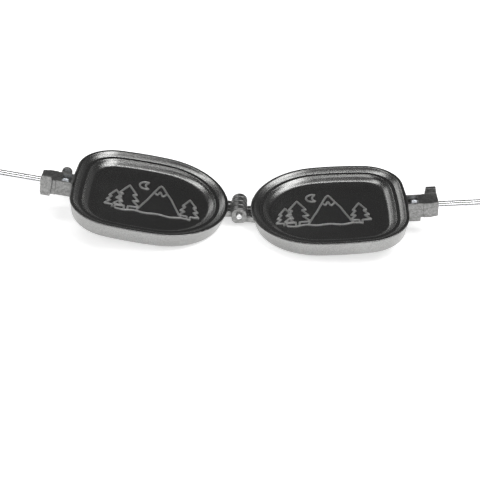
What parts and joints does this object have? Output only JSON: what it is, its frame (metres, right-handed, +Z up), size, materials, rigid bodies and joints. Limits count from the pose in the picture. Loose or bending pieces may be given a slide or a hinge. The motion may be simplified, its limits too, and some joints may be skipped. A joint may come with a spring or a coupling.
{
  "type": "pie iron",
  "caption": "Hinged cast-iron camp cooking iron, opened out: two bread-slice pans on one hinge pin, long steel rods, half-round wooden grips and a hook latch.",
  "frame": {"origin": "on the table under the hinge pin, midway between the two grips", "axes": "X along the handles, the pan with the deeper nut floor on +X; Y along the hinge pin, the pin's plain end on -Y; Z up"},
  "size_m": [1.3998, 0.1096, 0.1035],
  "materials": {
    "seasoned_cast_iron": "black seasoned cast iron with a fine grain and a satin sheen",
    "pin_steel": "plain bright steel with a cropped end",
    "bright_rod_steel": "bright nickel-plated steel",
    "zinc_plated_steel": "zinc-plated steel, lightly brushed",
    "bush_brass": "plain turned brass",
    "varnished_wood": "turned hardwood under clear varnish, grain along the grip"
  },
  "bodies": {
    "left_half": {"left_pan": "seasoned_cast_iron", "hinge_pin": "pin_steel", "left_rod": "bright_rod_steel", "left_lock_nut": "zinc_plated_steel", "left_grip_collar": "bright_rod_steel", "left_grip": "varnished_wood", "left_inner_washer": "zinc_plated_steel", "left_bush": "bush_brass", "left_outer_washer": "zinc_plated_steel", "left_cap_nut": "zinc_plated_steel"},
    "right_half": {"right_pan": "seasoned_cast_iron", "right_rod": "bright_rod_steel", "right_lock_nut": "zinc_plated_steel", "right_grip_collar": "bright_rod_steel", "right_grip": "varnished_wood", "right_inner_washer": "zinc_plated_steel", "right_bush": "bush_brass", "right_outer_washer": "zinc_plated_steel", "right_cap_nut": "zinc_plated_steel"},
    "latch": {"latch_hook": "zinc_plated_steel"}
  },
  "joints": [
    {"name": "pan_hinge", "type": "hinge", "parent": "left_half", "child": "right_half", "pos_m": [0, 0, 0.01128], "axis": [0, -1, 0], "range_deg": [0, 165]},
    {"name": "latch_swing", "type": "hinge", "parent": "left_half", "child": "latch", "pos_m": [-0.68756, 0, 0.09499], "axis": [-0.9914, 0, 0.1305], "range_deg": [-90, 180]}
  ]
}
